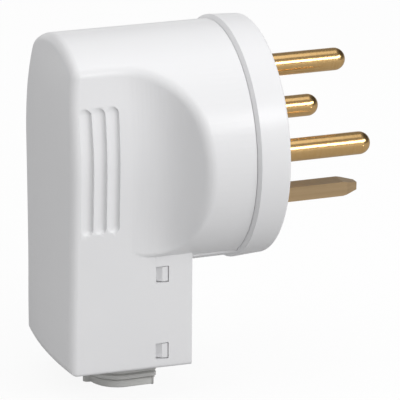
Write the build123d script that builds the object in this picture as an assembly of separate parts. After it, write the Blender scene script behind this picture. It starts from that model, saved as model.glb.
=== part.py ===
from build123d import *
import math
import os

# Industrial plug: three round pins and one flat earth pin, with the cable entering from below.
# Origin at the middle of the mating face, +X along the pins, +Z up, millimetres.
# Everything behind the mating face is given as a depth and stands at a negative X.

# Pins
PIN_CIRCLE_D = 32.6
PIN_D = 5.5
PIN_LENGTH = 24.9
PIN_ROOT_D = 6.2
PIN_COLLAR_D = 9.0
PIN_COLLAR_T = 2.0
EARTH_WIDTH = 4.7
EARTH_HEIGHT = 3.6
EARTH_LENGTH = 28.2
EARTH_TIP_LENGTH = 2.6
EARTH_TIP_HEIGHT = 1.9
EARTH_TIP_ROUND = 2.2
EARTH_COLLAR_RIM = 1.6

# Terminals behind the pins
TERMINAL_D = 7.4
TERMINAL_LENGTH = 9.0
WIRE_BORE_D = 4.0
WIRE_BORE_DEPTH = 7.5
TERMINAL_SCREW_D = 3.0
TERMINAL_SCREW_LENGTH = 3.4
TERMINAL_SCREW_SETBACK = 5.0
EARTH_TAB_WIDTH = 7.0
EARTH_SCREW_D = 3.5
EARTH_SCREW_LENGTH = 6.4
EARTH_SCREW_SETBACK = 5.6
SADDLE_LENGTH = 7.0
SADDLE_T = 1.2
SADDLE_LIP = 1.1

# Pin carrier
FLANGE_DRAFT = 0.4
FLANGE_T = 7.45
FLANGE_RISE = 0.9
FLANGE_RAMP = 0.75
FLANGE_EDGE = 0.6
FACE_T = 4.0
SEAM = 0.15
SEAM_DEPTH = 0.8
SPIGOT_LENGTH = 5.5
SPIGOT_WALL = 2.2
PIN_SEAT_DEPTH = 10.0
PIN_BOSS_D = 12.0
TONGUE_WIDTH = 30.8
TAIL_T = 2.4
CHEEK_T = 1.8
CHEEK_LENGTH = 10.4
TAIL_TOP_DROP = 21.5

# Pin retainer
RETAINER_T = 2.0
RETAINER_SCREW_RADIUS = 13.0
RETAINER_SCREW_D = 3.0
RETAINER_SCREW_BITE = 6.0
RETAINER_BOSS_D = 6.6

# Housing
BODY_D = 56.6
BODY_LENGTH = 50.1
CROWN = 1.2
UPPER_CROWN_R = 180.0
WALL = 2.4
BLOCK_WIDTH = 34.4
BLOCK_DROP = 50.4
BLOCK_FRONT_DEPTH = 20.1
PANEL_DEPTH = 32.2
PANEL_SINK = 0.12
SCOOP_R = 17.2
SCOOP_DEPTH = 36.2
BACK_ROUND = 2.2
RIM_ROUND = 3.4
GROOVE_COUNT = 3
GROOVE_PITCH = 3.2
GROOVE_WIDTH = 3.0
GROOVE_SINK = 0.7
GROOVE_LENGTH = 30.6
GROOVE_FIRST_DEPTH = 39.9

# Snap windows and teeth
WINDOW_DEPTH = 27.6
WINDOW_LENGTH = 3.25
WINDOW_HEIGHT = 4.1
WINDOW_DROPS = (27.15, 46.5)
TOOTH_LAND = 1.4
TOOTH_SUNK = 0.25
TOOTH_RISE = 1.1
TOOTH_GAP = 0.25

# Central housing screw
SCREW_D = 4.0
SCREW_LENGTH = 21.0
SCREW_SINK = 0.4
SCREW_BOSS_D = 11.0
SCREW_BOSS_DEPTH = 16.0
INSERT_D = 6.4
INSERT_LENGTH = 9.0

# Gland and strain relief
GLAND_DEPTH = 33.0
GLAND_FRONT_DEPTH = 25.8
GLAND_NECK_R = 6.8
GLAND_LIP_R = 8.4
GLAND_TIER_R = 7.4
GLAND_TIER_SETBACK = 0.5
GLAND_LIP_T = 4.4
GLAND_RIB_T = 1.3
GLAND_TIER_T = 1.7
GLAND_CREASE = 0.4
GLAND_CREASE_SINK = 1.0
GLAND_INNER_T = 2.0
GLAND_KEY_D = 2.8
GLAND_KEY_PROUD = 0.3
GLAND_KEY_DROP = 2.1
CABLE_D = 10.6
CLAMP_DROP = 37.5
CLAMP_SPAN = 24.6
CLAMP_HEIGHT = 8.0
CLAMP_T = 4.0
CLAMP_SCREW_PITCH = 18.0
CLAMP_SCREW_D = 3.5
CLAMP_POST_D = 6.4
CLAMP_NOTCH = 2.5
CLAMP_SCREW_LENGTH = 13.0
SADDLE_RIB_WIDTH = 12.0
SADDLE_RIB_NOTCH = 2.0

# Screw heads and their slots
HEAD_RATIO = 1.8
HEAD_HEIGHT_RATIO = 0.6
SLOT_WIDTH_RATIO = 0.2
SLOT_DEPTH_RATIO = 0.45

# Clearances
RUNNING = 0.15
THREAD = 0.05

# Derived places and sizes
FACE_BACK = -FACE_T
FLANGE_BACK = -FLANGE_T
RAMP_BACK = FLANGE_BACK - FLANGE_RAMP
HOUSING_FRONT = RAMP_BACK - SEAM
SPIGOT_BACK = HOUSING_FRONT - SPIGOT_LENGTH
PIN_SEAT = -PIN_SEAT_DEPTH
RETAINER_FRONT = PIN_SEAT - PIN_COLLAR_T
RETAINER_BACK = RETAINER_FRONT - RETAINER_T
TERMINAL_BACK = RETAINER_FRONT - TERMINAL_LENGTH
BLOCK_FRONT = -BLOCK_FRONT_DEPTH
TAIL_BACK = BLOCK_FRONT - TAIL_T
CROWN_R = ((BLOCK_WIDTH / 2) ** 2 + CROWN**2) / (2 * CROWN)
BACK_APEX = -(BODY_LENGTH + CROWN)
BOTTOM = -BLOCK_DROP
GLAND_X = -GLAND_DEPTH
GLAND_FRONT = -GLAND_FRONT_DEPTH
PILLAR_FRONT = -SCREW_BOSS_DEPTH
PIN_R = PIN_CIRCLE_D / 2
PIN_TURNS = {"top": 0, "far": -90, "near": 90}
PANEL_OUT = BLOCK_WIDTH / 2 - PANEL_SINK
CHEEK_OUT = PANEL_OUT - WALL - RUNNING
BODY_R = BODY_D / 2
FLANGE_R = BODY_R + FLANGE_RISE
SPIGOT_R = BODY_R - WALL - RUNNING
SPIGOT_BORE_R = SPIGOT_R - SPIGOT_WALL
CLAMP_FRONT = GLAND_X - CABLE_D / 2 + CLAMP_NOTCH
CLAMP_BACK = CLAMP_FRONT - CLAMP_T
SCREW_SEAT = -SCREW_SINK - SCREW_D * HEAD_HEIGHT_RATIO
TAIL_BOTTOM = BOTTOM + WALL + RUNNING
RETAINER_SCREW_OFFSET = RETAINER_SCREW_RADIUS / math.sqrt(2)


def along_x(sketch, x_from, x_to, y=0.0, z=0.0):
    """Extrude a sketch drawn in (Y, Z) from one X to another."""
    return extrude(Plane.YZ * Pos(y, z, x_from) * sketch, x_to - x_from)


def along_z(sketch, z_from, z_to, x=0.0, y=0.0):
    """Extrude a sketch drawn in (X, Y) from one Z to another."""
    return extrude(Plane.XY * Pos(x, y, z_from) * sketch, z_to - z_from)


def block(x, y, z):
    """Box between the two limits given for each axis."""
    middle = [sum(pair) / 2 for pair in (x, y, z)]
    sizes = [abs(pair[1] - pair[0]) for pair in (x, y, z)]
    return Pos(*middle) * Box(*sizes)


def turned(*outline):
    """Revolve a closed outline of (X, radius) points about the X axis."""
    return revolve(Plane.XZ * make_face(Polyline(*outline, close=True)), Axis.X)


def both_sides(piece):
    """The piece and its mirror image across the middle plane."""
    return piece + mirror(piece, Plane.XZ)


def slotted_screw(thread_d, length):
    """Cheese-head screw along +Z, with the underside of its head at Z = 0."""
    head_h = thread_d * HEAD_HEIGHT_RATIO
    head_r = thread_d * HEAD_RATIO / 2
    head = along_z(Circle(head_r), 0, head_h)
    head = chamfer(head.edges().group_by(Axis.Z)[-1], head_h / 5)
    slot_w = thread_d * SLOT_WIDTH_RATIO
    slot = block((-head_r, head_r), (-slot_w / 2, slot_w / 2), (head_h * (1 - SLOT_DEPTH_RATIO), head_h))
    shank = along_z(Circle(thread_d / 2 - THREAD), 0, -length)
    shank = chamfer(shank.edges().group_by(Axis.Z)[0], thread_d / 10)
    return head + shank - slot


def scooped_barrel(inset):
    """Round barrel with a scoop in each side, its surfaces moved inward by inset."""
    half = BLOCK_WIDTH / 2 - inset
    reach = BODY_D
    scoop = along_z(Circle(SCOOP_R + inset), -reach, reach, -SCOOP_DEPTH, BLOCK_WIDTH / 2 + SCOOP_R)
    scoop += block((BACK_APEX, -SCOOP_DEPTH), (half, reach), (-reach, reach))
    seam_down = Rot(0, 0, -90)
    return along_x(seam_down * Circle(BODY_R - inset), HOUSING_FRONT, BACK_APEX) - both_sides(scoop)


def cable_block(inset):
    """Block that hangs below the barrel, with a panel sunk into the front of each side."""
    half = BLOCK_WIDTH / 2 - inset
    z_limits = (BOTTOM + inset, 0)
    panel = block((-PANEL_DEPTH, BLOCK_FRONT), (PANEL_OUT - inset, half), z_limits)
    return block((BACK_APEX, BLOCK_FRONT), (-half, half), z_limits) - both_sides(panel)


def crown(inset):
    """Limit of the crowned back: bowed sideways below Z = 0, and bowed both ways above it."""
    radius = CROWN_R - inset
    rise = UPPER_CROWN_R - inset
    height = BODY_D
    bow = [(rise - radius - math.sqrt(rise**2 - z**2), z) for z in (0, height / 2, height)]
    side_view = make_face(ThreePointArc(*bow) + Polyline(bow[-1], (0, height), (0, 0), bow[0]))
    upper = revolve(Plane.XZ * side_view, Axis.Z)
    return Pos(BACK_APEX + CROWN_R, 0, 0) * (upper + along_z(Circle(radius), 0, 2 * BOTTOM))


def outer_body():
    """Outer form of the housing, with the scoop rims and the edges round the back rounded."""
    barrel = scooped_barrel(0)
    edges = barrel.edges()
    skip = edges.group_by(Axis.X)[0] + edges.group_by(Axis.X)[-1] + edges.filter_by(Axis.Z)
    rims = [e for e in edges if e not in skip and abs(e.center().Y) > BLOCK_WIDTH / 4]
    body = (fillet(rims, RIM_ROUND) + cable_block(0)) & crown(0)
    back_limit = 3 * CROWN - BODY_LENGTH
    back = [e for e in body.edges() if e.center().X < back_limit]
    # The two parts of the crown meet smoothly at Z = 0, so that line stays.
    return fillet([e for e in back if abs(e.center().Z) > RUNNING], BACK_ROUND)


def hollow():
    """Space inside the housing, one wall inward of its outer form."""
    return (scooped_barrel(WALL) + cable_block(WALL)) & crown(WALL)


def tongue_slot(gap):
    """Gap under the barrel that the carrier's tongue slides into, narrowed by gap on each side."""
    half = TONGUE_WIDTH / 2 - gap
    return block((RAMP_BACK, BLOCK_FRONT), (-half, half), (BOTTOM, -BODY_R / 2))


def finger_grooves():
    """Row of upright round-ended grooves for one side's finger grip."""
    radius = ((GROOVE_WIDTH / 2) ** 2 + GROOVE_SINK**2) / (2 * GROOVE_SINK)
    y = BLOCK_WIDTH / 2 + radius - GROOVE_SINK
    half_height = (GROOVE_LENGTH - GROOVE_WIDTH) / 2
    row = Part()
    for index in range(GROOVE_COUNT):
        x = -(GROOVE_FIRST_DEPTH + index * GROOVE_PITCH)
        row += along_z(Circle(radius), -half_height, half_height, x, y)
        row += Pos(x, y, half_height) * Sphere(radius)
        row += Pos(x, y, -half_height) * Sphere(radius)
    return row


def windows():
    """Openings of one side's snap windows, through the block's wall."""
    openings = Part()
    for drop in WINDOW_DROPS:
        openings += block(
            (-WINDOW_DEPTH - WINDOW_LENGTH / 2, -WINDOW_DEPTH + WINDOW_LENGTH / 2),
            (CHEEK_OUT, BLOCK_WIDTH / 2),
            (-drop - WINDOW_HEIGHT / 2, -drop + WINDOW_HEIGHT / 2),
        )
    return openings


def teeth():
    """One side's snap teeth: a ramp that faces the way the carrier slides in, then a flat land."""
    back = -WINDOW_DEPTH - WINDOW_LENGTH / 2 + RUNNING
    front = -WINDOW_DEPTH + WINDOW_LENGTH / 2 - RUNNING
    top = PANEL_OUT - TOOTH_SUNK
    ramp = make_face(
        Polyline(
            (back, CHEEK_OUT),
            (back, top - TOOTH_RISE),
            (front - TOOTH_LAND, top),
            (front, top),
            (front, CHEEK_OUT),
            close=True,
        )
    )
    half = WINDOW_HEIGHT / 2 - TOOTH_GAP
    row = Part()
    for drop in WINDOW_DROPS:
        row += along_z(ramp, -drop - half, -drop + half)
    return row


def gland_plan(radius, front):
    """U outline in (X, Y): round behind the gland's axis, straight from there to the front."""
    sides = Polyline((GLAND_X, -radius), (front, -radius), (front, radius), (GLAND_X, radius))
    bend = ThreePointArc((GLAND_X, radius), (GLAND_X - radius, 0), (GLAND_X, -radius))
    return make_face(sides + bend)


def make_housing():
    """Shell with the grips, windows, gland slot and the pillar for the central screw."""
    shell = outer_body() - hollow()
    shell -= both_sides(finger_grooves())
    shell -= both_sides(windows())
    shell -= tongue_slot(0)
    shell -= along_z(gland_plan(GLAND_NECK_R + RUNNING, BLOCK_FRONT), BOTTOM, BOTTOM + WALL)
    pillar_front = PILLAR_FRONT - RUNNING
    pillar = along_x(Circle(SCREW_BOSS_D / 2), pillar_front, BACK_APEX + WALL)
    pillar -= along_x(Circle(INSERT_D / 2 + THREAD), pillar_front, pillar_front - INSERT_LENGTH)
    pillar -= along_x(Circle(SCREW_D / 2), pillar_front, SCREW_SEAT - SCREW_LENGTH - RUNNING)
    return shell + pillar


def flange():
    """Drafted front flange, ramped down to the barrel, with the spigot that centres it in there."""
    shoulder = BODY_R - SEAM_DEPTH
    body = turned(
        (0, 0),
        (0, FLANGE_R - FLANGE_DRAFT),
        (FLANGE_BACK, FLANGE_R),
        (RAMP_BACK, BODY_R),
        (RAMP_BACK, shoulder),
        (HOUSING_FRONT, shoulder),
        (HOUSING_FRONT, SPIGOT_R),
        (SPIGOT_BACK, SPIGOT_R),
        (SPIGOT_BACK, SPIGOT_BORE_R),
        (FACE_BACK, SPIGOT_BORE_R),
        (FACE_BACK, 0),
    )
    return fillet(body.edges().group_by(Axis.X)[-1], FLANGE_EDGE)


def tail():
    """Tongue, front wall and sprung cheeks of the carrier, with the seat for the cable."""
    skin = along_x(Circle(BODY_R) - Circle(BODY_R - WALL), RAMP_BACK, BLOCK_FRONT)
    piece = skin & tongue_slot(RUNNING)
    piece += block((BLOCK_FRONT, TAIL_BACK), (-CHEEK_OUT, CHEEK_OUT), (TAIL_BOTTOM, -TAIL_TOP_DROP))
    piece += block((BLOCK_FRONT, GLAND_FRONT), (-GLAND_NECK_R, GLAND_NECK_R), (BOTTOM, TAIL_BOTTOM + TAIL_T))
    cheek = block(
        (BLOCK_FRONT, BLOCK_FRONT - CHEEK_LENGTH),
        (CHEEK_OUT - CHEEK_T, CHEEK_OUT),
        (TAIL_BOTTOM, -TAIL_TOP_DROP),
    )
    piece += both_sides(cheek + teeth())
    half_height = CLAMP_HEIGHT / 2
    rib_back = GLAND_X + CABLE_D / 2 - SADDLE_RIB_NOTCH
    piece += block(
        (TAIL_BACK, rib_back),
        (-SADDLE_RIB_WIDTH / 2, SADDLE_RIB_WIDTH / 2),
        (-CLAMP_DROP - half_height, -CLAMP_DROP + half_height),
    )
    post = along_x(Circle(CLAMP_POST_D / 2), TAIL_BACK, CLAMP_FRONT, CLAMP_SCREW_PITCH / 2, -CLAMP_DROP)
    post -= along_x(
        Circle(CLAMP_SCREW_D / 2), TAIL_BACK, CLAMP_FRONT, CLAMP_SCREW_PITCH / 2, -CLAMP_DROP
    )
    piece += both_sides(post)
    return piece - along_z(Circle(CABLE_D / 2), BOTTOM + WALL, 0, GLAND_X)


def make_pin_carrier():
    """Flange and tail in one moulding, with bosses for the pins, the retainer and the central screw."""
    carrier = flange() + tail()
    for turn in PIN_TURNS.values():
        boss = along_x(Circle(PIN_BOSS_D / 2), FACE_BACK, PIN_SEAT, 0, PIN_R)
        carrier += Rot(turn, 0, 0) * boss
    earth_boss = Rectangle(EARTH_WIDTH + 4 * EARTH_COLLAR_RIM, EARTH_HEIGHT + 4 * EARTH_COLLAR_RIM)
    carrier += along_x(earth_boss, FACE_BACK, PIN_SEAT, 0, -PIN_R)
    for side in (-1, 1):
        y = side * RETAINER_SCREW_OFFSET
        carrier += along_x(Circle(RETAINER_BOSS_D / 2), FACE_BACK, RETAINER_FRONT, y, RETAINER_SCREW_OFFSET)
    carrier += along_x(Circle(SCREW_BOSS_D / 2), FACE_BACK, PILLAR_FRONT)
    return carrier - carrier_holes()


def carrier_holes():
    """Holes in the carrier for the pins, the retainer's screws and the central screw."""
    holes = along_x(Circle(SCREW_D / 2 + RUNNING), 0, PILLAR_FRONT)
    holes += along_x(Circle(SCREW_D * HEAD_RATIO / 2 + RUNNING), 0, SCREW_SEAT)
    for turn in PIN_TURNS.values():
        holes += Rot(turn, 0, 0) * along_x(Circle(PIN_ROOT_D / 2 + RUNNING), 0, PIN_SEAT, 0, PIN_R)
    earth = Rectangle(EARTH_WIDTH + 2 * RUNNING, EARTH_HEIGHT + 2 * RUNNING)
    holes += along_x(earth, 0, PIN_SEAT, 0, -PIN_R)
    pilot_end = RETAINER_FRONT + RETAINER_SCREW_BITE
    for side in (-1, 1):
        y = side * RETAINER_SCREW_OFFSET
        holes += along_x(Circle(RETAINER_SCREW_D / 2), RETAINER_FRONT, pilot_end, y, RETAINER_SCREW_OFFSET)
    return holes


def make_phase_pin(turn):
    """Turned pin with a round tip, a collar that seats on its boss and a pillar terminal behind."""
    radius = PIN_D / 2
    pin = along_x(Circle(radius), 0, PIN_LENGTH - radius, 0, PIN_R)
    pin += along_x(Circle(PIN_ROOT_D / 2), PIN_SEAT, 0, 0, PIN_R)
    pin += Pos(PIN_LENGTH - radius, 0, PIN_R) * Sphere(radius)
    pin += along_x(Circle(PIN_COLLAR_D / 2), PIN_SEAT, RETAINER_FRONT, 0, PIN_R)
    pin += along_x(Circle(TERMINAL_D / 2), RETAINER_FRONT, TERMINAL_BACK, 0, PIN_R)
    pin -= along_x(Circle(WIRE_BORE_D / 2), TERMINAL_BACK, TERMINAL_BACK + WIRE_BORE_DEPTH, 0, PIN_R)
    screw_x = RETAINER_FRONT - TERMINAL_SCREW_SETBACK
    pin -= along_z(Circle(TERMINAL_SCREW_D / 2), PIN_R, PIN_R + TERMINAL_D / 2, screw_x)
    return Rot(turn, 0, 0) * pin


def make_earth_pin():
    """Flat bar with a bevelled, rounded tip, a collar and a terminal tab."""
    half = EARTH_HEIGHT / 2
    tip_half = EARTH_TIP_HEIGHT / 2
    shoulder = EARTH_LENGTH - EARTH_TIP_LENGTH
    side_view = make_face(
        Polyline(
            (PIN_SEAT, -half),
            (shoulder, -half),
            (EARTH_LENGTH, -tip_half),
            (EARTH_LENGTH, tip_half),
            (shoulder, half),
            (PIN_SEAT, half),
            close=True,
        )
    )
    bar = extrude(Plane.XZ * side_view, EARTH_WIDTH / 2, both=True)
    bar = fillet(bar.edges().filter_by(Axis.Z).group_by(Axis.X)[-1], EARTH_TIP_ROUND)
    rim = 2 * EARTH_COLLAR_RIM
    bar += along_x(Rectangle(EARTH_WIDTH + rim, EARTH_HEIGHT + rim), PIN_SEAT, RETAINER_FRONT)
    bar += along_x(Rectangle(EARTH_TAB_WIDTH, EARTH_HEIGHT), RETAINER_FRONT, TERMINAL_BACK)
    screw_x = RETAINER_FRONT - EARTH_SCREW_SETBACK
    bar -= along_z(Circle(EARTH_SCREW_D / 2), -half, half, screw_x)
    return Pos(0, 0, -PIN_R) * bar


def make_phase_terminal_screws():
    """One clamp screw in each round pin's terminal, heads outward."""
    place = Pos(RETAINER_FRONT - TERMINAL_SCREW_SETBACK, 0, PIN_R + TERMINAL_D / 2)
    screw = place * slotted_screw(TERMINAL_SCREW_D, TERMINAL_SCREW_LENGTH)
    return Compound([Rot(turn, 0, 0) * screw for turn in PIN_TURNS.values()])


def make_earth_terminal_screw():
    """Screw that holds the saddle on the earth tab."""
    top = EARTH_HEIGHT / 2 - PIN_R + SADDLE_T
    place = Pos(RETAINER_FRONT - EARTH_SCREW_SETBACK, 0, top)
    return place * slotted_screw(EARTH_SCREW_D, EARTH_SCREW_LENGTH)


def make_earth_saddle():
    """Folded wire saddle that straddles the earth tab."""
    half = EARTH_TAB_WIDTH / 2 + RUNNING
    middle = RETAINER_FRONT - EARTH_SCREW_SETBACK
    ends = (middle - SADDLE_LENGTH / 2, middle + SADDLE_LENGTH / 2)
    base = EARTH_HEIGHT / 2 - PIN_R
    saddle = block(ends, (-half - SADDLE_T, half + SADDLE_T), (base - SADDLE_LIP, base + SADDLE_T))
    saddle = fillet(saddle.edges().filter_by(Axis.X).group_by(Axis.Z)[-1], SADDLE_T / 2)
    saddle -= block(ends, (-half, half), (base - SADDLE_LIP, base))
    return saddle - along_z(Circle(EARTH_SCREW_D / 2 + RUNNING), base, base + SADDLE_T, middle)


def make_pin_retainer():
    """Round plate that traps the pin collars against their bosses."""
    plate = along_x(Circle(SPIGOT_BORE_R - RUNNING), RETAINER_FRONT, RETAINER_BACK)
    plate -= along_x(Circle(SCREW_BOSS_D / 2 + RUNNING), RETAINER_FRONT, RETAINER_BACK)
    for turn in PIN_TURNS.values():
        plate -= Rot(turn, 0, 0) * along_x(
            Circle(TERMINAL_D / 2 + RUNNING), RETAINER_FRONT, RETAINER_BACK, 0, PIN_R
        )
    earth = Rectangle(EARTH_TAB_WIDTH + 2 * RUNNING, EARTH_HEIGHT + 2 * RUNNING)
    plate -= along_x(earth, RETAINER_FRONT, RETAINER_BACK, 0, -PIN_R)
    for side in (-1, 1):
        y = side * RETAINER_SCREW_OFFSET
        hole = Circle(RETAINER_SCREW_D / 2 + RUNNING)
        plate -= along_x(hole, RETAINER_FRONT, RETAINER_BACK, y, RETAINER_SCREW_OFFSET)
    return plate


def make_retainer_screws():
    """Two screws that hold the retainer to the carrier's bosses."""
    screw = Rot(0, -90, 0) * slotted_screw(RETAINER_SCREW_D, RETAINER_T + RETAINER_SCREW_BITE - THREAD)
    places = [Pos(RETAINER_BACK, side * RETAINER_SCREW_OFFSET, RETAINER_SCREW_OFFSET) for side in (-1, 1)]
    return Compound([place * screw for place in places])


def make_cable_clamp():
    """Strain relief bar with a round notch for the cable."""
    half_height = CLAMP_HEIGHT / 2
    bar = block(
        (CLAMP_FRONT, CLAMP_BACK),
        (-CLAMP_SPAN / 2, CLAMP_SPAN / 2),
        (-CLAMP_DROP - half_height, -CLAMP_DROP + half_height),
    )
    bar = fillet(bar.edges().filter_by(Axis.X), CLAMP_T / 4)
    bar -= along_z(Circle(CABLE_D / 2), BOTTOM, 0, GLAND_X)
    hole = along_x(
        Circle(CLAMP_SCREW_D / 2 + RUNNING), CLAMP_FRONT, CLAMP_BACK, CLAMP_SCREW_PITCH / 2, -CLAMP_DROP
    )
    return bar - both_sides(hole)


def make_clamp_screws():
    """Two screws that draw the clamp bar towards the tail."""
    screw = Rot(0, -90, 0) * slotted_screw(CLAMP_SCREW_D, CLAMP_SCREW_LENGTH)
    places = [Pos(CLAMP_BACK, side * CLAMP_SCREW_PITCH / 2, -CLAMP_DROP) for side in (-1, 1)]
    return Compound([place * screw for place in places])


def make_gland():
    """Elastomer gland: a flange inside the housing, a neck in its slot and three tiers below."""
    inner_base = BOTTOM + WALL + RUNNING
    top = BOTTOM - RUNNING
    piece = along_z(gland_plan(GLAND_LIP_R, GLAND_FRONT), inner_base, inner_base + GLAND_INNER_T)
    piece += along_z(gland_plan(GLAND_NECK_R, GLAND_FRONT), inner_base, top)
    tiers = (
        (GLAND_LIP_R, GLAND_FRONT, GLAND_LIP_T),
        (GLAND_LIP_R - GLAND_CREASE_SINK, GLAND_FRONT - GLAND_CREASE_SINK, GLAND_CREASE),
        (GLAND_LIP_R, GLAND_FRONT, GLAND_RIB_T),
        (GLAND_TIER_R - GLAND_CREASE_SINK, GLAND_FRONT - GLAND_CREASE_SINK, GLAND_CREASE),
        (GLAND_TIER_R, GLAND_FRONT - GLAND_TIER_SETBACK, GLAND_TIER_T),
    )
    for radius, front, thickness in tiers:
        piece += along_z(gland_plan(radius, front), top, top - thickness)
        top -= thickness
    rib_bottom = BOTTOM - RUNNING - GLAND_LIP_T - GLAND_CREASE - GLAND_RIB_T
    key_x = GLAND_X - GLAND_LIP_R - GLAND_KEY_PROUD + GLAND_KEY_D / 2
    piece += along_z(Circle(GLAND_KEY_D / 2), rib_bottom - GLAND_KEY_DROP, rib_bottom + GLAND_RIB_T, key_x)
    return piece - along_z(Circle(CABLE_D / 2), top, inner_base + GLAND_INNER_T, GLAND_X)


def make_housing_screw():
    """Long screw from the mating face into the housing's insert."""
    return Pos(SCREW_SEAT, 0, 0) * Rot(0, 90, 0) * slotted_screw(SCREW_D, SCREW_LENGTH)


def make_housing_insert():
    """Threaded insert in the front of the housing's pillar."""
    front = PILLAR_FRONT - RUNNING
    return along_x(Circle(INSERT_D / 2) - Circle(SCREW_D / 2), front, front - INSERT_LENGTH)


def all_parts():
    """Every node's name and the solid or group of solids that it holds."""
    parts = {f"phase_pin_{name}": make_phase_pin(turn) for name, turn in PIN_TURNS.items()}
    makers = (
        make_housing,
        make_pin_carrier,
        make_earth_pin,
        make_phase_terminal_screws,
        make_earth_terminal_screw,
        make_earth_saddle,
        make_pin_retainer,
        make_retainer_screws,
        make_cable_clamp,
        make_clamp_screws,
        make_gland,
        make_housing_screw,
        make_housing_insert,
    )
    for maker in makers:
        parts[maker.__name__.removeprefix("make_")] = maker()
    return parts


def main():
    """Write every piece to parts/ under its node name."""
    os.makedirs("parts", exist_ok=True)
    for name, piece in all_parts().items():
        export_step(piece, f"parts/{name}.step")


if __name__ == "__main__":
    main()
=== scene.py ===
"""Industrial plug: finishes, reshaped mouldings and earth bar, soft gland, studio and camera.

The shared frame is in metres. The classes that shape a piece hold their lengths in millimetres.
"""

import logging
from collections.abc import Callable
from dataclasses import dataclass
from enum import Enum

import bmesh
import bpy
import numpy as np
from mathutils import Matrix, Vector

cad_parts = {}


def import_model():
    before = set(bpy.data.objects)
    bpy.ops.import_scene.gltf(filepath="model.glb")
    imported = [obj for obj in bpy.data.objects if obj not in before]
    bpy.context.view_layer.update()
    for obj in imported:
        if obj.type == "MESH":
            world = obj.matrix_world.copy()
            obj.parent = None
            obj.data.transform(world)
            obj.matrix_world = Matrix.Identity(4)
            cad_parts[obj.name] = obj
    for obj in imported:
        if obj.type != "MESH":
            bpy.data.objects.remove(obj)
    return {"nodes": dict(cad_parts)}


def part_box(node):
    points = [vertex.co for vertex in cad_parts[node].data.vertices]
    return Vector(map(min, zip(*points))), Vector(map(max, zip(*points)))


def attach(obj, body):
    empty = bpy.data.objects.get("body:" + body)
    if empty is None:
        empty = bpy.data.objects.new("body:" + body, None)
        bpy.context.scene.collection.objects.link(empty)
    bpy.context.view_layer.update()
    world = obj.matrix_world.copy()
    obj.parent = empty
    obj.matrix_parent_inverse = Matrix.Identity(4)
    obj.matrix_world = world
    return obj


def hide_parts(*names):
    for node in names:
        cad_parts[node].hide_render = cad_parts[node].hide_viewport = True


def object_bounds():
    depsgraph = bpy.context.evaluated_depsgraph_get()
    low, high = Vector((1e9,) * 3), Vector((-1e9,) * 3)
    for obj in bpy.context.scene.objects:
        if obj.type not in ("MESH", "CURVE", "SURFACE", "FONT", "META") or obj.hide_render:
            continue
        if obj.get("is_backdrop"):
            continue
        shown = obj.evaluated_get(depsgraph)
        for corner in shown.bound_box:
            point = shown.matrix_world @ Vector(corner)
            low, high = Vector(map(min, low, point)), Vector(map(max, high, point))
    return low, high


LOG = logging.getLogger("plug")
BODY = "root"
# Metres in a millimetre, and the distance in metres below which points count as one.
MM = 0.001
WELD = 1e-6
# A noise runs from 0 to 1 and seldom leaves this middle part.
NOISE_MIDDLE = (0.3, 0.7)

Colour = tuple[float, float, float]
Point = tuple[float, float, float]
Span = tuple[float, float]
Socket = bpy.types.NodeSocket
Nodes = dict[str, bpy.types.Object]
Cut = tuple[Point, np.ndarray]


class Slot(Enum):
    """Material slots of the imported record."""

    WHITE_PLASTIC = "white_plastic"
    GREY_PLASTIC = "grey_plastic"
    GREY_RUBBER = "grey_rubber"
    BRASS = "brass"
    ZINC_STEEL = "zinc_steel"


class Curve(Enum):
    """Ways from one end of a mapped range to the other."""

    STRAIGHT = "LINEAR"
    SMOOTH = "SMOOTHSTEP"


class Operation(Enum):
    """Operations on two values in a node tree."""

    LARGER = "MAXIMUM"
    PRODUCT = "MULTIPLY"


class NodeBook:
    """Node tree under construction: makes nodes, feeds their inputs and gives their outputs."""

    def __init__(self, tree: bpy.types.NodeTree) -> None:
        """Work on one tree."""
        self.tree = tree

    def add(self, kind: str, **settings: object) -> bpy.types.Node:
        """Add one node and set its properties.

        Args:
            kind: Type name of the node.
            settings: Properties of the node.

        Returns:
            The new node.
        """
        made = self.tree.nodes.new(kind)
        for key, value in settings.items():
            setattr(made, key, value)
        return made

    def feed(self, target: Socket, source: Socket | float) -> None:
        """Join an output to an input, or set the input to a constant.

        Args:
            target: Input of a node.
            source: Output of a node, or a value.
        """
        if isinstance(source, Socket):
            self.tree.links.new(source, target)
        else:
            target.default_value = source

    def compute(self, operation: Operation, first: Socket, second: Socket) -> Socket:
        """Work out one value from two.

        Args:
            operation: What to do with the values.
            first: First value.
            second: Second value.

        Returns:
            The result.
        """
        made = self.add("ShaderNodeMath", operation=operation.value)
        self.feed(made.inputs[0], first)
        self.feed(made.inputs[1], second)
        return made.outputs[0]

    def remap(self, value: Socket, source: Span, result: Span, curve: Curve = Curve.STRAIGHT) -> Socket:
        """Map one range of a value to another, and hold the ends outside it.

        Args:
            value: Value to map.
            source: Range that is read.
            result: Range that is given.
            curve: Way from one end to the other.

        Returns:
            The mapped value.
        """
        made = self.add("ShaderNodeMapRange", interpolation_type=curve.value)
        keys = ("From Min", "From Max", "To Min", "To Max")
        for key, limit in zip(keys, (*source, *result)):
            self.feed(made.inputs[key], limit)
        self.feed(made.inputs["Value"], value)
        return made.outputs["Result"]

    def blend(self, share: Socket, first: float, second: Socket | float) -> Socket:
        """Go from one value to another.

        Args:
            share: Share of the second value.
            first: Value at share 0.
            second: Value at share 1.

        Returns:
            The blended value.
        """
        made = self.add("ShaderNodeMix")
        for key, source in {"Factor": share, "A": first, "B": second}.items():
            self.feed(made.inputs[key], source)
        return made.outputs["Result"]

    def layer(self, share: Socket | float, under: Socket, over: Socket) -> Socket:
        """Go from one shader to another.

        Args:
            share: Share of the second shader.
            under: Shader at share 0.
            over: Shader at share 1.

        Returns:
            The mixed shader.
        """
        made = self.add("ShaderNodeMixShader")
        for place, source in enumerate((share, under, over)):
            self.feed(made.inputs[place], source)
        return made.outputs["Shader"]


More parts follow.
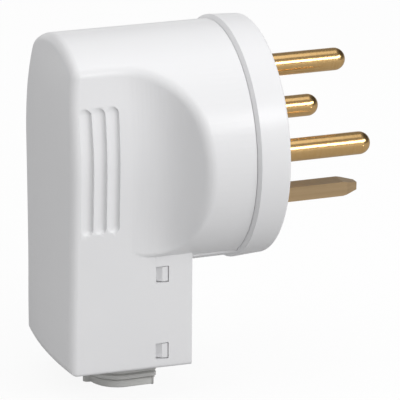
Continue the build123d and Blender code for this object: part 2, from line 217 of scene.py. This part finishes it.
class MaterialBook(NodeBook):
    """Material under construction around one surface shader, with noises on object coordinates."""

    def __init__(self, name: str) -> None:
        """Start a material that holds nothing but its shader.

        Args:
            name: Name of the material.
        """
        self.material = bpy.data.materials.new(name)
        self.material.use_nodes = True
        super().__init__(self.material.node_tree)
        self.tree.nodes.clear()
        self.shader = self.add("ShaderNodeBsdfPrincipled")
        self.output = self.add("ShaderNodeOutputMaterial")
        self.feed(self.output.inputs["Surface"], self.shader.outputs["BSDF"])
        self.place = self.add("ShaderNodeTexCoord").outputs["Object"]

    def set(self, **values: float) -> None:
        """Set constant inputs of the shader, named with _ for a space."""
        for key, value in values.items():
            self.feed(self.shader.inputs[key.replace("_", " ")], value)

    def noise(self, scale: float, stretch: Point = (1, 1, 1), detail: float = 2.0) -> Socket:
        """Noise on object coordinates.

        Args:
            scale: Cells per metre.
            stretch: Factor on each axis before the noise is read.
            detail: Octaves.

        Returns:
            The noise's value, from 0 to 1.
        """
        mapping = self.add("ShaderNodeMapping")
        mapping.inputs["Scale"].default_value = stretch
        self.feed(mapping.inputs["Vector"], self.place)
        made = self.add("ShaderNodeTexNoise")
        self.feed(made.inputs["Scale"], scale)
        self.feed(made.inputs["Detail"], detail)
        self.feed(made.inputs["Vector"], mapping.outputs["Vector"])
        return made.outputs["Fac"]

    def tones(self, value: Socket, first: Colour, second: Colour) -> None:
        """Colour the shader between two tones by a noise.

        Args:
            value: Noise value.
            first: Tone where the noise is low.
            second: Tone where the noise is high.
        """
        ramp = self.add("ShaderNodeValToRGB")
        for element, place, tone in zip(ramp.color_ramp.elements, NOISE_MIDDLE, (first, second)):
            element.position = place
            element.color = (*tone, 1)
        self.feed(ramp.inputs["Fac"], value)
        self.feed(self.shader.inputs["Base Color"], ramp.outputs["Color"])

    def roughen(self, value: Socket, limits: Span) -> None:
        """Vary the shader's roughness between two limits by a noise."""
        self.feed(self.shader.inputs["Roughness"], self.remap(value, NOISE_MIDDLE, limits))

    def relief(self, value: Socket, depth: float) -> None:
        """Bump the shader's normal by a noise.

        Args:
            value: Height, from 0 to 1.
            depth: Height of the relief in metres.
        """
        bump = self.add("ShaderNodeBump")
        self.feed(bump.inputs["Distance"], depth)
        self.feed(bump.inputs["Height"], value)
        self.feed(self.shader.inputs["Normal"], bump.outputs["Normal"])


@dataclass(frozen=True)
class MouldedFinish:
    """Moulded plastic or elastomer: two close tones, a varying roughness and a fine grain.

    Scales are in cells per metre, and the grain's depth is in metres.
    """

    name: str
    slot: Slot
    light: Colour
    dark: Colour
    roughness: Span
    grain_scale: float
    grain_depth: float
    sheen: float = 0.5
    ior: float = 1.49
    cloud_scale: float = 40.0
    patch_scale: float = 80.0

    def make(self) -> bpy.types.Material:
        """Build the material: clouds give tone, patches give roughness and grain gives relief.

        Returns:
            The material.
        """
        book = MaterialBook(self.name)
        book.tones(book.noise(self.cloud_scale), self.dark, self.light)
        book.roughen(book.noise(self.patch_scale, detail=0.0), self.roughness)
        book.relief(book.noise(self.grain_scale, detail=1.0), self.grain_depth)
        book.set(IOR=self.ior, Specular_IOR_Level=self.sheen)
        return book.material


@dataclass(frozen=True)
class MetalFinish:
    """Worked metal: two tones, a varying roughness and tool marks that run across one axis.

    Scales are in cells per metre, and the marks' depth is in metres.
    """

    name: str
    slot: Slot
    light: Colour
    dark: Colour
    roughness: Span
    mark_scale: float
    mark_stretch: Point
    mark_depth: float
    stain_scale: float = 220.0

    def make(self) -> bpy.types.Material:
        """Build the material: stains give tone, marks give roughness and relief.

        Returns:
            The material.
        """
        book = MaterialBook(self.name)
        marks = book.noise(self.mark_scale, self.mark_stretch)
        book.tones(book.noise(self.stain_scale, self.mark_stretch), self.dark, self.light)
        book.roughen(marks, self.roughness)
        book.relief(marks, self.mark_depth)
        book.set(Metallic=1.0)
        return book.material


Finish = MouldedFinish | MetalFinish

WHITE_PLASTIC = MouldedFinish(
    name="white_satin_plastic",
    slot=Slot.WHITE_PLASTIC,
    light=(0.80, 0.80, 0.81),
    dark=(0.79, 0.79, 0.802),
    roughness=(0.28, 0.31),
    grain_scale=4000.0,
    grain_depth=3e-7,
    sheen=0.3,
)
GREY_PLASTIC = MouldedFinish(
    name="grey_matt_plastic",
    slot=Slot.GREY_PLASTIC,
    light=(0.44, 0.45, 0.46),
    dark=(0.40, 0.41, 0.42),
    roughness=(0.5, 0.62),
    grain_scale=2200.0,
    grain_depth=4e-6,
)
GREY_RUBBER = MouldedFinish(
    name="grey_elastomer",
    slot=Slot.GREY_RUBBER,
    light=(0.75, 0.75, 0.73),
    dark=(0.71, 0.71, 0.69),
    roughness=(0.5, 0.6),
    grain_scale=2600.0,
    grain_depth=4e-6,
)
TURNED_BRASS = MetalFinish(
    name="turned_brass",
    slot=Slot.BRASS,
    light=(0.83, 0.55, 0.25),
    dark=(0.77, 0.49, 0.20),
    roughness=(0.21, 0.24),
    mark_scale=500.0,
    mark_stretch=(16, 1, 1),
    mark_depth=1e-8,
)
DRAWN_BRASS = MetalFinish(
    name="drawn_brass",
    slot=Slot.BRASS,
    light=(0.68, 0.49, 0.29),
    dark=(0.58, 0.41, 0.23),
    roughness=(0.30, 0.46),
    mark_scale=900.0,
    mark_stretch=(0.08, 3, 3),
    mark_depth=1e-6,
)
ZINC_STEEL = MetalFinish(
    name="zinc_steel",
    slot=Slot.ZINC_STEEL,
    light=(0.64, 0.65, 0.67),
    dark=(0.56, 0.57, 0.60),
    roughness=(0.28, 0.42),
    mark_scale=1500.0,
    mark_stretch=(1, 1, 1),
    mark_depth=2e-6,
)


def paint(mesh: bpy.types.Mesh, finish: Finish) -> None:
    """Give a mesh one finish, whose material is made on its first use.

    Args:
        mesh: Mesh to paint.
        finish: Finish to put on.
    """
    material = bpy.data.materials.get(finish.name) or finish.make()
    mesh.materials.clear()
    mesh.materials.append(material)


def dress(nodes: Nodes, names: tuple[str, ...], finish: Finish) -> None:
    """Put one finish on several solids.

    Args:
        nodes: Solids of the frame by name.
        names: Names of the solids that share the finish.
        finish: Finish to put on.
    """
    for name in names:
        paint(nodes[name].data, finish)
        LOG.info("%s: %s in slot %s", name, finish.name, finish.slot.value)


def recut(nodes: Nodes, solid: str, name: str, cuts: tuple[Cut, ...] = ()) -> bpy.types.Mesh:
    """Copy a solid's mesh, merge its double points and cut it into strips.

    Args:
        nodes: Solids of the frame by name.
        solid: Name of the solid to copy.
        name: Name of the new mesh.
        cuts: Directions across the cuts, each with the places of its cuts in metres.

    Returns:
        The cut mesh.
    """
    form = bmesh.new()
    form.from_mesh(nodes[solid].data)
    bmesh.ops.remove_doubles(form, verts=form.verts, dist=WELD)
    for normal, places in cuts:
        for place in places:
            geometry = [*form.verts, *form.edges, *form.faces]
            point = Vector(normal) * place
            bmesh.ops.bisect_plane(form, geom=geometry, plane_co=point, plane_no=normal, dist=WELD)
    mesh = bpy.data.meshes.new(name)
    form.to_mesh(mesh)
    form.free()
    return mesh


def reshape(mesh: bpy.types.Mesh, rule: Callable[[np.ndarray], np.ndarray]) -> None:
    """Move a mesh's points by a rule.

    Args:
        mesh: Mesh to change.
        rule: Takes the points (n, 3) in millimetres and gives them back moved.
    """
    points = np.empty(len(mesh.vertices) * 3)
    mesh.vertices.foreach_get("co", points)
    mesh.vertices.foreach_set("co", rule(points.reshape(-1, 3) / MM).ravel() * MM)


def skin(name: str, rows: np.ndarray) -> bpy.types.Mesh:
    """Closed quad skin through rows of points, joined from row to row and from the last to the first.

    Args:
        name: Name of the mesh.
        rows: Points (rows, around, 3) in metres, each row a closed loop.

    Returns:
        The mesh.
    """
    count, around = rows.shape[:2]
    index = np.arange(count * around).reshape(count, around)
    below, beside = np.roll(index, -1, axis=0), np.roll(index, -1, axis=1)
    corner = np.roll(below, -1, axis=1)
    quads = np.stack([index, below, corner, beside], axis=-1).reshape(-1, 4)
    mesh = bpy.data.meshes.new(name)
    mesh.from_pydata(rows.reshape(-1, 3).tolist(), [], quads.tolist())
    mesh.validate()
    return mesh


def stand_in(
    mesh: bpy.types.Mesh, solid: str, finish: Finish, crease: float | None = None
) -> bpy.types.Object:
    """Shade and finish a mesh and let it stand for a solid.

    Args:
        mesh: Mesh in the shared frame.
        solid: Name of the solid it stands for.
        finish: Finish to put on.
        crease: Angle above which an edge stays sharp, or None to keep the mesh's own shading.

    Returns:
        The linked object.
    """
    if crease is not None:
        mesh.shade_smooth()
        mesh.set_sharp_from_angle(angle=crease)
    paint(mesh, finish)
    piece = bpy.data.objects.new(mesh.name, mesh)
    bpy.context.scene.collection.objects.link(piece)
    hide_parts(solid)
    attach(piece, BODY)
    LOG.info("%s: %d points", mesh.name, len(mesh.vertices))
    return piece


def ease(value: np.ndarray, start: float, end: float) -> np.ndarray:
    """Smooth step (n) from 0 at the start to 1 at the end: share squared times 3 less twice the share."""
    share = np.clip((value - start) / (end - start), 0, 1)
    return share**2 * (3 - 2 * share)


def within(value: np.ndarray, span: Span) -> np.ndarray:
    """Mask (n) of the values between two limits."""
    return (value > span[0]) & (value < span[1])


def tuck(distance: np.ndarray, radius: float) -> np.ndarray:
    """Inward moves (n) of a quarter round: radius less the root of its square minus the rest squared."""
    rest = np.clip(radius - distance, 0, radius)
    return radius - np.sqrt(radius**2 - rest**2)


@dataclass(frozen=True)
class Profile:
    """Moves by height in millimetres, read as a mean over a short span around each height."""

    heights: tuple[float, ...]
    moves: tuple[float, ...]
    span: float = 3.0
    samples: int = 9

    def read(self, z: np.ndarray) -> np.ndarray:
        """Moves (n) at heights (n)."""
        around = np.linspace(-self.span, self.span, self.samples)
        return np.interp(z[:, None] + around, self.heights, self.moves).mean(axis=1)


@dataclass
class Housing:
    """Moulded housing: the solid, cut into fine strips, with the bow of its sides and back.

    Lengths are in millimetres. A reach is where a move starts and where it is full.
    """

    strip: float = 2.0
    crease: float = np.radians(22)
    half_width: float = 17.2
    side_bow: Profile = Profile(
        heights=(-50, -31, -21, -11, 0, 4, 8, 12, 14, 17, 20, 23, 29),
        moves=(-0.3, -0.1, 0.2, 0.6, 1.1, 1.1, 0.8, 0.4, 0.1, -0.6, -1.3, -1.8, -1.8),
    )
    side_reach: Span = (-22.0, -41.0)
    lift_reach: Span = (12.0, 22.0)
    lift_least_z: float = 1.0
    back_bow: Profile = Profile(
        heights=(-50, -42, -31, -21, -10, 0, 8, 12, 17, 20, 23, 26, 29),
        moves=(-0.35, -0.35, -0.2, -0.15, -0.1, -0.06, -0.15, -0.3, -0.4, -0.35, 0, 0.4, 0.5),
    )
    back_reach: Span = (-37.0, -47.0)
    groove_x: Span = (-47.9, -38.3)
    groove_z: Span = (-15.5, 15.5)
    groove_depth: Span = (0.0, 0.75)
    groove_shear: float = 0.8
    scoop_x: float = -36.2
    scoop_r: float = 17.2
    oval_x: float = -37.0
    oval_length: float = 17.3
    oval_sink: float = 11.8
    wall_reach: Span = (0.1, 1.8)
    rim_shares: Span = (0.45, 1.0)
    rim_reach: Span = (6.0, 19.0)
    flatten: float = 0.35
    flatten_reach: Span = (-6.0, -22.0)
    foot_round: float = 0.9
    foot_steps: int = 6
    foot_ends: Span = (-50.0, -20.0)
    foot_drops: Span = (0.2, 0.6)
    foot_reach: Span = (-48.5, -49.8)
    corner_x: float = -50.1
    corner_r: float = 2.2

    def build(self, nodes: Nodes) -> bpy.types.Object:
        """Cut the solid's mesh into strips, finer at the foot, bow it and let it stand for the solid.

        Args:
            nodes: Solids of the frame by name.

        Returns:
            The bowed housing.
        """
        low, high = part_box("housing")
        step = self.strip * MM
        turns = np.linspace(0, np.pi / 2, self.foot_steps + 1)[1:]
        foot = low[2] + self.foot_round * MM * (1 - np.cos(turns))
        along = np.arange(low[0] + step, high[0], step)
        rows = np.arange(low[2] + step, high[2], step)
        cuts = (((1, 0, 0), along), ((0, 0, 1), np.concatenate([foot, rows])))
        mesh = recut(nodes, "housing", "moulded_housing", cuts)
        reshape(mesh, self.bow)
        piece = stand_in(mesh, "housing", WHITE_PLASTIC, self.crease)
        piece.modifiers.new("normals", "WEIGHTED_NORMAL").keep_sharp = True
        return piece

    def bow(self, points: np.ndarray) -> np.ndarray:
        """Move points sideways and along X by amounts that depend on their height.

        The sideways move is the side's bow times the share of the half width, and fades out towards
        the front. Near the top it follows the barrel's circle: up by the move times Y over Z. The move
        along X is the back's bow, and fades out ahead of the back.

        Args:
            points: Points (n, 3) in millimetres.

        Returns:
            Moved points (n, 3) in millimetres.
        """
        x, y, z = points.T
        side = self.side_bow.read(z) * ease(x, *self.side_reach)
        shift = side * np.clip(y / self.half_width, -1, 1)
        slope = np.clip(y / np.maximum(z, self.lift_least_z), -1, 1)
        lift = -shift * slope * ease(z, *self.lift_reach)
        back = self.back_bow.read(z) * ease(x, *self.back_reach)
        moves = np.stack([back + self.lean(points), shift + self.scoop(points), lift], axis=1)
        return points + moves + self.foot(points)

    def lean(self, points: np.ndarray) -> np.ndarray:
        """Moves that lean the finger grooves to the front, in proportion to their depth.

        Args:
            points: Points (n, 3) in millimetres.

        Returns:
            Moves along X (n) in millimetres.
        """
        x, y, z = points.T
        depth = self.half_width - np.abs(y)
        inside = within(depth, self.groove_depth) & within(x, self.groove_x) & within(z, self.groove_z)
        return np.where(inside, self.groove_shear * depth, 0.0)

    def scoop(self, points: np.ndarray) -> np.ndarray:
        """Moves that turn the scoop's round wall into an oval one.

        The wall's sink is the oval's depth times one less the root of one minus the share of its length
        squared, and is cut down towards the block. Points off the wall follow less, the farther they are
        from it.

        Args:
            points: Points (n, 3) in millimetres.

        Returns:
            Moves along Y (n) in millimetres.
        """
        x, y, z = points.T
        off_axis = np.hypot(x - self.scoop_x, np.abs(y) - self.half_width - self.scoop_r) - self.scoop_r
        wall = (1 - ease(np.abs(off_axis), *self.wall_reach)) * (x > self.scoop_x)
        share = np.clip((x - self.oval_x) / self.oval_length, 0, 1)
        sink = self.oval_sink * (1 - np.sqrt(1 - share**2))
        sink = sink * (1 - self.flatten * ease(z, *self.flatten_reach))
        wall = wall * (1 - ease(share, *self.rim_shares)) * (1 - ease(z, *self.rim_reach))
        return np.sign(y) * wall * np.minimum(self.half_width + sink - np.abs(y), 0)

    def foot(self, points: np.ndarray) -> np.ndarray:
        """Moves that round the block's bottom edge and let it down towards the front.

        Near the bottom the outside moves in by a quarter round along the plan's normal: Y and X by their
        shares of the corner's radius. The drop runs straight from the back to the front.

        Args:
            points: Points (n, 3) in millimetres.

        Returns:
            Moves (n, 3) in millimetres.
        """
        x, y, z = points.T
        inward = tuck(z - z.min(), self.foot_round)
        beside = np.clip((np.abs(y) - self.half_width) / self.corner_r + 1, 0, 1)
        behind = np.clip((self.corner_x - x) / self.corner_r + 1, 0, 1)
        drop = np.interp(x, self.foot_ends, self.foot_drops) * ease(z, *self.foot_reach)
        return np.stack([inward * behind, -np.sign(y) * inward * beside, -drop], axis=1)


@dataclass
class Carrier:
    """Moulded pin carrier: flange, tail, and a tongue that stands a little proud under the barrel.

    Lengths are in millimetres. The tongue is proud by the first amount at its middle and by the second
    at its sides.
    """

    tongue_x: Span = (-20.2, -8.1)
    tongue_half: float = 15.5
    tongue_r: Span = (28.1, 28.5)
    proud: Span = (0.15, 0.4)

    def build(self, nodes: Nodes) -> bpy.types.Object:
        """Copy the solid's mesh with its shading, let its tongue down and let it stand for the solid.

        Args:
            nodes: Solids of the frame by name.

        Returns:
            The carrier with its proud tongue.
        """
        mesh = nodes["pin_carrier"].data.copy()
        mesh.name = "moulded_carrier"
        reshape(mesh, self.let_down)
        return stand_in(mesh, "pin_carrier", WHITE_PLASTIC)

    def let_down(self, points: np.ndarray) -> np.ndarray:
        """Lower the tongue's outside, from its middle to its sides by the square of Y's share.

        Args:
            points: Points (n, 3) in millimetres.

        Returns:
            Moved points (n, 3) in millimetres.
        """
        x, y, z = points.T
        share = np.abs(y) / self.tongue_half
        outside = within(np.hypot(y, z), self.tongue_r) & within(x, self.tongue_x) & (share < 1) & (z < 0)
        drop = np.interp(share**2, (0, 1), self.proud)
        return np.stack([x, y, np.where(outside, z - drop, z)], axis=1)


@dataclass
class Contacts:
    """Brass of the plug: round pins and insert turned, earth bar drawn with a long flat-sided tip.

    Lengths are in millimetres. Half sizes are along Y and Z. A tip is given by the places along X of its
    bevel's start, its corner's start and its end.
    """

    turned: tuple[str, ...] = ("phase_pin_top", "phase_pin_far", "phase_pin_near", "housing_insert")
    bar_half: Span = (2.35, 1.8)
    tip_half: Span = (1.05, 0.95)
    solid_round: float = 2.2
    solid_tip: Point = (25.6, 26.0, 28.2)
    long_tip: Point = (24.4, 25.5, 28.55)
    crease: float = np.radians(8)

    def build(self, nodes: Nodes) -> bpy.types.Object:
        """Dress the turned pieces and give the earth bar its tip.

        Args:
            nodes: Solids of the frame by name.

        Returns:
            The earth bar.
        """
        dress(nodes, self.turned, TURNED_BRASS)
        mesh = recut(nodes, "earth_pin", "drawn_earth_bar")
        reshape(mesh, self.tip)
        return stand_in(mesh, "earth_pin", DRAWN_BRASS, self.crease)

    def tip(self, points: np.ndarray) -> np.ndarray:
        """Lengthen the bar's bevels and turn the round corners of its tip into flat ones.

        The bevel's start, the corner's start and the end move along X, with straight lines between.
        Y is scaled from the quarter round's half width to that of a straight corner, and Z from the
        half height of the short bevel to that of the long one.

        Args:
            points: Points (n, 3) in millimetres.

        Returns:
            Moved points (n, 3) in millimetres.
        """
        x, y, z = points.T
        wide, high = self.bar_half
        tip_wide, tip_high = self.tip_half
        bevel, corner, end = self.solid_tip
        long_bevel, long_corner, long_end = self.long_tip
        moved = np.interp(x, (0.0, *self.solid_tip), (0.0, *self.long_tip))
        turned = np.clip(x - corner, 0, self.solid_round)
        round_half = wide - self.solid_round + np.sqrt(self.solid_round**2 - turned**2)
        flat_half = np.interp(moved, (long_corner, long_end), (wide, tip_wide))
        short_half = np.interp(x, (bevel, end), (high, tip_high))
        long_half = np.interp(moved, (long_bevel, long_end), (high, tip_high))
        ahead = x > bevel - WELD / MM
        middle = z[ahead].mean()
        return np.stack(
            [
                np.where(x > 0, moved, x),
                np.where(ahead, y * flat_half / round_half, y),
                np.where(ahead, middle + (z - middle) * long_half / short_half, z),
            ],
            axis=1,
        )


@dataclass
class Fittings:
    """Pieces inside the housing: retainer, clamp, saddle and screws."""

    plastic: tuple[str, ...] = ("pin_retainer", "cable_clamp")
    steel: tuple[str, ...] = (
        "phase_terminal_screws",
        "earth_terminal_screw",
        "earth_saddle",
        "retainer_screws",
        "clamp_screws",
        "housing_screw",
    )

    def build(self, nodes: Nodes) -> None:
        """Dress the fittings."""
        dress(nodes, self.plastic, GREY_PLASTIC)
        dress(nodes, self.steel, ZINC_STEEL)


@dataclass
class Gland:
    """Elastomer gland: a tiered skirt on a U plan, a neck, an inner flange and a round cable bore.

    Lengths are in millimetres. Drops are below the skirt's top, which is under the housing.
    """

    axis_x: float = -33.0
    front_x: float = -25.8
    lip_r: float = 8.4
    neck_r: float = 6.8
    tier_r: float = 7.4
    bore_r: float = 5.3
    corner_r: float = 0.9
    edge_r: float = 0.35
    fold_half: float = 0.32
    fold_sinks: Span = (0.9, 1.6)
    fold_drops: Span = (4.1, 5.6)
    front_relief: float = 0.5
    height: float = 7.8
    flange_t: float = 2.0
    seat_drop: float = 5.1
    lug_half: float = 1.2
    lug_proud: float = 0.4
    lug_drop: float = 3.6
    around: int = 240
    down: int = 90
    crease: float = np.radians(50)

    def build(self) -> bpy.types.Object:
        """Make the gland's skin and let it stand for the plain solid.

        Returns:
            The gland.
        """
        top_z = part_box("gland")[1][2] / MM
        rows = self.surface(top_z - self.seat_drop, top_z) * MM
        return stand_in(skin("soft_gland", rows), "gland", GREY_RUBBER, self.crease)

    def plan(self) -> tuple[np.ndarray, np.ndarray, np.ndarray]:
        """Closed U path at the lip's radius, walked at even steps from the middle of the bend.

        The path is a half circle behind the axis, two straight sides, two round corners and a
        straight front. Each stretch gives its points and outward normals from its own parameter.

        Returns:
            Points (n, 2), outward normals (n, 2) and distance from the middle of the bend (n).
        """
        r, c = self.lip_r, self.corner_r
        side = self.front_x - c - self.axis_x
        lengths = np.array([np.pi * r / 2, side, np.pi * c / 2, r - c])
        ends = np.cumsum(lengths)
        walked = (np.arange(self.around) + 0.5) / self.around * 2 * ends[-1] - ends[-1]
        s = np.abs(walked)
        turn = np.where(s < ends[0], s / r, np.pi / 2)
        turn = turn + np.clip((s - ends[1]) / c, 0, np.pi / 2)
        along = np.clip(s - ends[0], 0, side)
        across = np.clip(s - ends[2], 0, r - c)
        bent = s > ends[1]
        normal = np.stack([-np.cos(turn), np.sin(turn)], axis=1)
        centre = np.stack([self.axis_x + along, np.where(bent, r - c - across, 0.0)], axis=1)
        point = centre + normal * np.where(bent, c, r)[:, None]
        mirror = np.stack([np.ones_like(s), np.sign(walked)], axis=1)
        return point * mirror, normal * mirror, s

    def skirt(self) -> tuple[np.ndarray, np.ndarray]:
        """Outside of the skirt from top to bottom.

        The offset from the lip is the step to the lowest tier, a smooth bell for each fold, and a
        quarter round at the top and bottom edges.

        Returns:
            Offsets outward from the plan (n) and drops (n).
        """
        drop = (1 - np.cos(np.linspace(0, np.pi, self.down))) / 2 * self.height
        tier = self.fold_drops[1]
        offset = (self.tier_r - self.lip_r) * ease(drop, tier, tier + self.fold_half)
        for middle, sink in zip(self.fold_drops, self.fold_sinks):
            bell = np.clip(1 - ((drop - middle) / self.fold_half) ** 2, 0, 1)
            offset = np.minimum(offset, -sink * bell**2)
        return offset - tuck(np.minimum(drop, self.height - drop), self.edge_r), drop

    def section(self, seat_z: float, top_z: float) -> tuple[np.ndarray, np.ndarray, np.ndarray]:
        """Rows of the closed skin: bore, top face, flange, neck, skirt and bottom face.

        Args:
            seat_z: Height of the skirt's top.
            top_z: Height of the inner flange's top.

        Returns:
            Offsets outward from the plan, heights, and drops of the skirt's rows, each (rows).
        """
        offset, drop = self.skirt()
        neck = self.neck_r - self.lip_r
        base_z = top_z - self.flange_t
        inner_offset = np.array([0.0, 0.0, 0.0, neck, neck])
        inner_z = np.array([top_z, top_z, base_z, base_z, seat_z])
        offsets = np.concatenate([inner_offset, offset, [0.0]])
        heights = np.concatenate([inner_z, seat_z - drop, [seat_z - self.height]])
        drops = np.concatenate([np.zeros_like(inner_z), drop, [0.0]])
        return offsets, heights, drops

    def surface(self, seat_z: float, top_z: float) -> np.ndarray:
        """Points of the closed skin.

        A point is the plan's, moved out along its normal by the row's offset. A lug swells the skirt at the
        middle of the bend, as a half ellipse, and the lowest tier steps back less at the front. The first
        and last rows are the bore's circle, at the plan's turns about the axis.

        Args:
            seat_z: Height of the skirt's top.
            top_z: Height of the inner flange's top.

        Returns:
            Points (rows, around, 3) in millimetres.
        """
        point, normal, walked = self.plan()
        offsets, heights, drops = self.section(seat_z, top_z)
        swell = np.sqrt(np.clip(1 - (walked / self.lug_half) ** 2, 0, 1))
        proud = np.where(drops > self.lug_drop, self.lug_proud - offsets, 0.0)
        front = np.clip((point[:, 0] - self.front_x) / self.corner_r + 1, 0, 1)
        relief = np.where(drops > self.fold_drops[1], self.front_relief, 0.0)
        reach = offsets[:, None] + relief[:, None] * front + proud[:, None] * swell
        flat = point + reach[..., None] * normal
        bearing = np.arctan2(point[:, 1], point[:, 0] - self.axis_x)
        circle = self.bore_r * np.stack([np.cos(bearing), np.sin(bearing)], axis=1)
        flat[[0, -1]] = circle + (self.axis_x, 0.0)
        level = np.broadcast_to(heights[:, None, None], (*flat.shape[:2], 1))
        return np.concatenate([flat, level], axis=2)


@dataclass(frozen=True)
class Lamp:
    """Oblong soft lamp: its place and panel in metres and its power in watts."""

    name: str
    place: Point
    size: Span
    watts: float

    def hang(self, aim: Point) -> None:
        """Hang the lamp so that it looks at a point.

        Args:
            aim: Point to look at.
        """
        data = bpy.data.lights.new(self.name, "AREA")
        data.shape = "RECTANGLE"
        data.size, data.size_y = self.size
        data.energy = self.watts
        lamp = bpy.data.objects.new(self.name, data)
        lamp.location = self.place
        lamp.rotation_euler = (Vector(aim) - Vector(self.place)).to_track_quat("-Z", "Y").to_euler()
        bpy.context.scene.collection.objects.link(lamp)


@dataclass(frozen=True)
class Viewpoint:
    """Camera fitted to the photograph: its place, axes and clipping in metres, its lens in millimetres."""

    place: Point = (-0.26227, -0.67046, 0.22753)
    right: Point = (0.93764, -0.34752, 0.00711)
    up: Point = (0.10558, 0.30424, 0.94673)
    forward: Point = (0.33117, 0.88694, -0.32196)
    lens: float = 282.5
    sensor: float = 36.0
    clip: Span = (0.01, 50.0)

    def take(self) -> None:
        """Make the camera and look through it."""
        data = bpy.data.cameras.new("camera")
        data.lens = self.lens
        data.sensor_width = self.sensor
        data.clip_start, data.clip_end = self.clip
        camera = bpy.data.objects.new("camera", data)
        turn = Matrix((self.right, self.up, -Vector(self.forward))).transposed()
        camera.matrix_world = Matrix.Translation(self.place) @ turn.to_4x4()
        bpy.context.scene.collection.objects.link(camera)
        bpy.context.scene.camera = camera


@dataclass
class Studio:
    """Pale floor, white surroundings, soft lamps and the camera.

    Lengths are in metres. The floor is paper to the camera and a greyer card to other rays: bounce is the
    card's level for soft light, and gleam its level in reflections. Reflections of the surroundings fall
    from white to the ceiling's level overhead and to the flag's level beside the pins' tips.
    """

    floor_z: float
    floor_size: float = 6.0
    paper_scale: float = 3.0
    paper_dark: Colour = (0.90, 0.90, 0.90)
    paper_light: Colour = (0.92, 0.92, 0.92)
    paper_roughness: float = 0.9
    whiteness: float = 0.9
    bounce: float = 0.5
    gleam: float = 0.43
    ambient: float = 0.58
    ceiling: float = 0.26
    ceiling_reach: Span = (0.0, 0.24)
    flag: float = 0.2
    flag_reach: Span = (0.4, 0.75)
    aim: Point = (0, 0, -0.01)
    lamps: tuple[Lamp, ...] = (
        Lamp("key", place=(0.55, -0.73, 0.49), size=(0.8, 0.22), watts=5.5),
        Lamp("top", place=(-0.16, 0.0, 0.88), size=(0.66, 1.2), watts=2.75),
    )
    viewpoint: Viewpoint = Viewpoint()

    def build(self) -> None:
        """Build the whole studio."""
        self.floor()
        self.world()
        for lamp in self.lamps:
            lamp.hang(self.aim)
        self.viewpoint.take()
        LOG.info("studio: floor at %.4f m, %d lamps", self.floor_z, len(self.lamps))

    def floor(self) -> None:
        """Lay a pale floor under the gland."""
        half = self.floor_size / 2
        corners = [(-half, -half), (half, -half), (half, half), (-half, half)]
        mesh = bpy.data.meshes.new("floor")
        mesh.from_pydata([(x, y, self.floor_z) for x, y in corners], [], [(0, 1, 2, 3)])
        mesh.materials.append(self.floor_finish())
        piece = bpy.data.objects.new("floor", mesh)
        bpy.context.scene.collection.objects.link(piece)
        piece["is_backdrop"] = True

    def floor_finish(self) -> bpy.types.Material:
        """White paper to the camera, with a faint shadow, and a greyer card to other rays.

        Returns:
            The material.
        """
        book = MaterialBook("pale_floor")
        book.tones(book.noise(self.paper_scale), self.paper_dark, self.paper_light)
        book.set(Roughness=self.paper_roughness)
        glow = book.add("ShaderNodeEmission")
        paper = book.layer(self.whiteness, book.shader.outputs["BSDF"], glow.outputs["Emission"])
        rays = book.add("ShaderNodeLightPath").outputs
        card = book.add("ShaderNodeBsdfDiffuse")
        book.feed(card.inputs["Color"], book.blend(rays["Is Glossy Ray"], self.bounce, self.gleam))
        either = book.layer(rays["Is Camera Ray"], card.outputs["BSDF"], paper)
        book.feed(book.output.inputs["Surface"], either)
        return book.material

    def world(self) -> None:
        """White to the camera, white at the horizon of reflections, a plain grey level as light."""
        world = bpy.data.worlds.new("studio")
        world.use_nodes = True
        bpy.context.scene.world = world
        book = NodeBook(world.node_tree)
        rays = book.add("ShaderNodeLightPath").outputs
        shiny = book.compute(Operation.LARGER, rays["Is Glossy Ray"], rays["Is Transmission Ray"])
        way = book.add("ShaderNodeSeparateXYZ")
        book.feed(way.inputs[0], book.add("ShaderNodeTexCoord").outputs["Generated"])
        overhead = book.remap(way.outputs["Z"], self.ceiling_reach, (1.0, self.ceiling), Curve.SMOOTH)
        beside = book.remap(way.outputs["X"], self.flag_reach, (1.0, self.flag), Curve.SMOOTH)
        room = book.compute(Operation.PRODUCT, overhead, beside)
        level = book.blend(shiny, self.ambient, room)
        back = book.tree.nodes["Background"]
        back.inputs["Color"].default_value = (1, 1, 1, 1)
        book.feed(back.inputs["Strength"], book.compute(Operation.LARGER, rays["Is Camera Ray"], level))


def main() -> None:
    """Load the frame, dress it and set up the studio."""
    logging.basicConfig(level=logging.INFO, format="%(name)s %(message)s")
    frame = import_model()
    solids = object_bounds()
    bpy.context.scene.view_settings.view_transform = "Standard"
    Housing().build(frame["nodes"])
    Carrier().build(frame["nodes"])
    Contacts().build(frame["nodes"])
    Fittings().build(frame["nodes"])
    Gland().build()
    Studio(floor_z=solids[0][2]).build()


if __name__ == "__main__":
    main()
